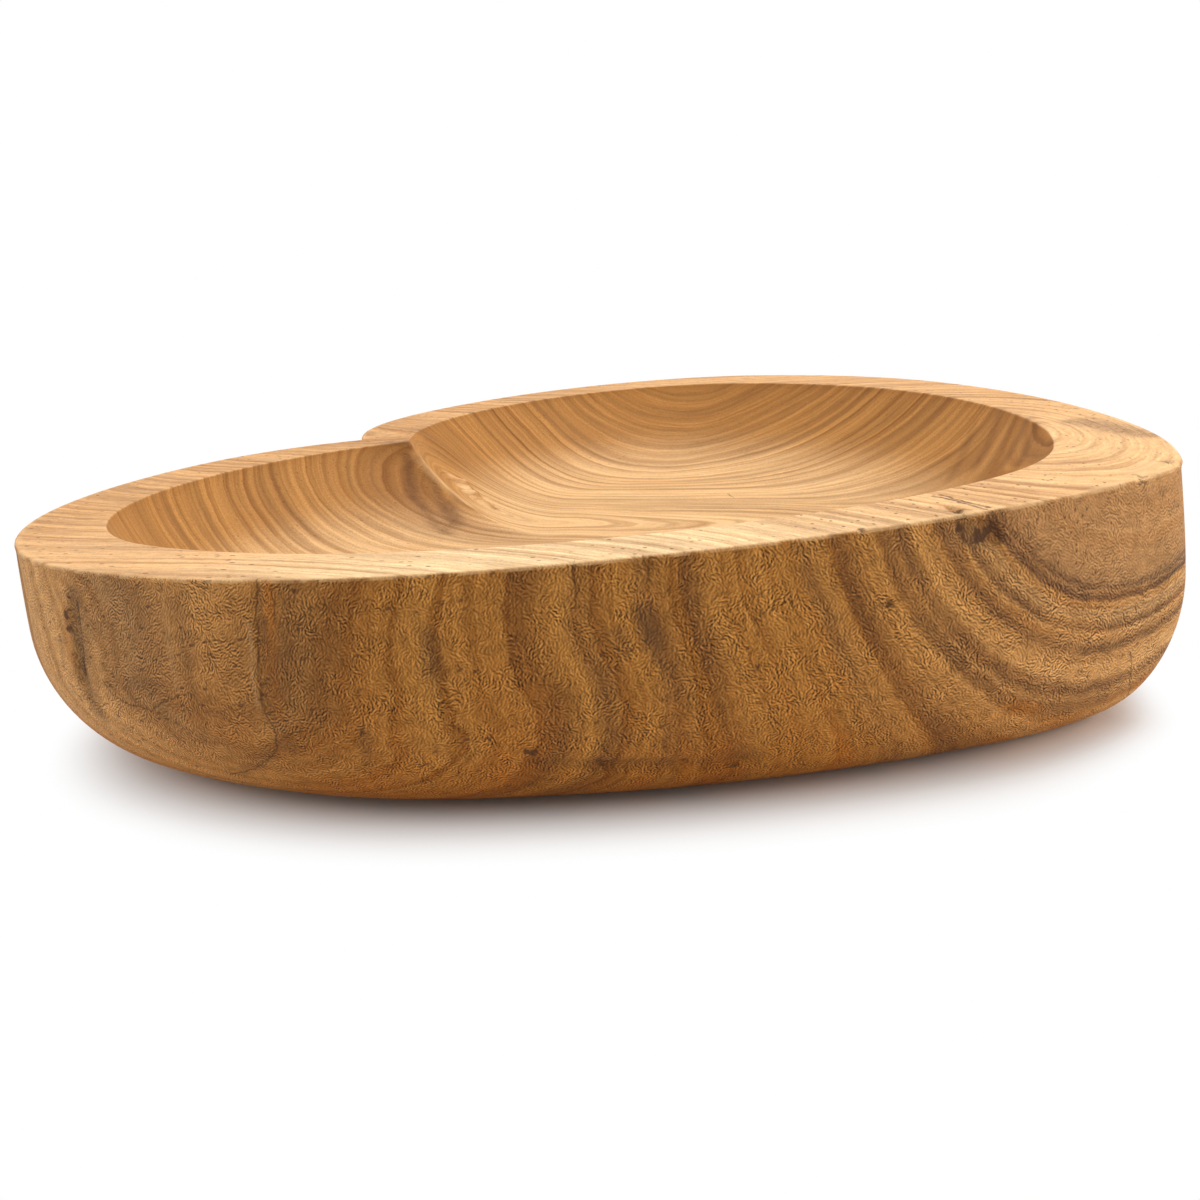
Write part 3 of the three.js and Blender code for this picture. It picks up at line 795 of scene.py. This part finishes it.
# Warmer, with less blue, low on the wall
low = times(outside, ramp(place_z, 0.004, 0.022, 1.0, 0.0), ramp(past_tip_x, 0.020, 0.100, 0.4, 1.0))
colour = mixed(low, colour, vector_calc("MULTIPLY", colour, (1.02, 0.91, 0.64)))

raised = plus(times(fibre, fibre_strength, 0.5), times(dash, on_land, 0.25))
height = plus(raised, times(pores, -1.0), times(crack, -1.0))
relief = node("ShaderNodeBump", {"Height": height, "Strength": 0.7, "Distance": 0.00012}, "Normal")
finish = nodes.new("ShaderNodeBsdfPrincipled")
put(finish.inputs["Base Color"], colour)
put(finish.inputs["Roughness"], plus(0.60, times(outside, 0.1), times(grain, 0.08)))
put(finish.inputs["Specular IOR Level"], 0.14)
put(finish.inputs["Normal"], relief)
output = nodes.new("ShaderNodeOutputMaterial")
links.new(finish.outputs[0], output.inputs[0])

bowl = bpy.data.objects.new("carved_bowl", bowl_mesh)
bpy.context.scene.collection.objects.link(bowl)
bowl_mesh.materials.append(wood)
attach(bowl, "root")
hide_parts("bowl")

# Studio: a white sheet on a table that goes paper white a little way from the bowl's own shadow,
# and sooner on the right, where more of the light comes from
FLOOR_REACH, FLOOR_GAP = 3.0, 0.0001
floor_lines = np.hstack([-FLOOR_REACH, np.linspace(-0.25, 0.25, 101), FLOOR_REACH])
floor_x, floor_y = np.meshgrid(floor_lines, floor_lines, indexing="ij")
floor_points = np.stack([floor_x, floor_y, 0 * floor_x - FLOOR_GAP], axis=-1).reshape(-1, 3)
foot = skin[BASE_ROWS]
away = np.sqrt(((floor_points[:, None, :2] - foot[None, ::4, :2]) ** 2).sum(axis=-1).min(axis=1))
to_right = floor_points[:, 0] * np.sin(0.70) - floor_points[:, 1] * np.cos(0.70)
away *= 1 + 1.2 * smooth(to_right, 0.05, 0.14)
lines = len(floor_lines)
near, side_by = np.mgrid[0:lines - 1, 0:lines - 1]
corner = near * lines + side_by
floor_quads = np.stack([corner, corner + lines, corner + lines + 1, corner + 1], axis=-1)
floor_mesh = bpy.data.meshes.new("floor")
floor_mesh.from_pydata(floor_points.tolist(), [], floor_quads.reshape(-1, 4).tolist())
away_layer = floor_mesh.attributes.new("away", "FLOAT", "POINT")
away_layer.data.foreach_set("value", away.astype(np.float32))
floor = bpy.data.objects.new("floor", floor_mesh)
bpy.context.scene.collection.objects.link(floor)
sheet = bpy.data.materials.new("white_sheet")
sheet.use_nodes = True
floor_mesh.materials.append(sheet)
nodes, links = sheet.node_tree.nodes, sheet.node_tree.links
nodes.clear()


def seen_rays():
    """1 for the rays that show the scene: straight from the camera, mirrored or passed on."""
    rays = nodes.new("ShaderNodeLightPath")
    kinds = ("Is Camera Ray", "Is Glossy Ray", "Is Transmission Ray")
    return calc("MINIMUM", plus(*(rays.outputs[kind] for kind in kinds)), 1.0)


# The sheet's warm tint is painted bounce light off the wood, which warms the bowl's shadow
SHEET_COLOUR = (0.87, 0.80, 0.735, 1)
matt = node("ShaderNodeBsdfDiffuse", {"Color": SHEET_COLOUR})
paper_white = node("ShaderNodeEmission", {"Color": (1, 1, 1, 1), "Strength": 1.0})
from_foot = attribute("away")
far = ramp(from_foot, 0.007, 0.034, 0.0, 1.0)
shown = node("ShaderNodeMixShader", {0: calc("MULTIPLY", far, seen_rays()), 1: matt, 2: paper_white})
output = nodes.new("ShaderNodeOutputMaterial")
links.new(shown, output.inputs[0])

world = bpy.data.worlds.new("surround")
bpy.context.scene.world = world
world.use_nodes = True
nodes, links = world.node_tree.nodes, world.node_tree.links
nodes.clear()
SURROUND = 0.30
sky_level = ramp(seen_rays(), 0.0, 1.0, SURROUND, 1.0)
sky = node("ShaderNodeBackground", {"Color": (1, 1, 1, 1), "Strength": sky_level})
output = nodes.new("ShaderNodeOutputWorld")
links.new(sky, output.inputs[0])


def soft_box(name, place, aim, size, power):
    """A square area light at a place, turned to an aim point."""
    data = bpy.data.lights.new(name, "AREA")
    data.size, data.energy = size, power
    light = bpy.data.objects.new(name, data)
    light.location = place
    light.rotation_euler = (Vector(aim) - Vector(place)).to_track_quat("-Z", "Y").to_euler()
    bpy.context.scene.collection.objects.link(light)


soft_box("overhead", (0.18, 0.01, 1.0), (0, 0, 0), 1.0, 10.5)
soft_box("right_side", (0.25, -0.85, 0.32), (0, -0.06, 0.03), 0.6, 4.6)
soft_box("left_side", (-0.75, 0.70, 0.35), (-0.06, 0.04, 0.03), 0.6, 3.3)

# Camera: close and low on the bowl's left flank, a little tilted, as a hand-held shot is
EYE = (-0.24278, -0.18619, 0.10286)
LENS = 37.5
HEADING, PITCH, ROLL = 0.6962, 0.2821, -0.1016
ahead = np.array([np.cos(HEADING), np.sin(HEADING), 0])
level_right = np.array([np.sin(HEADING), -np.cos(HEADING), 0])
sight = ahead * np.cos(PITCH) - np.array([0, 0, np.sin(PITCH)])
level_up = np.cross(level_right, sight)
right = np.cos(ROLL) * level_right + np.sin(ROLL) * level_up
up = np.cos(ROLL) * level_up - np.sin(ROLL) * level_right
camera_data = bpy.data.cameras.new("camera")
camera_data.lens = LENS
camera_data.sensor_width = 36.0
camera_data.clip_start = 0.01
camera = bpy.data.objects.new("camera", camera_data)
pose = np.eye(4)
pose[:3, :4] = np.stack([right, up, -sight, EYE], axis=1)
camera.matrix_world = Matrix(pose.tolist())
bpy.context.scene.collection.objects.link(camera)
bpy.context.scene.camera = camera
bpy.context.scene.view_settings.view_transform = "Standard"
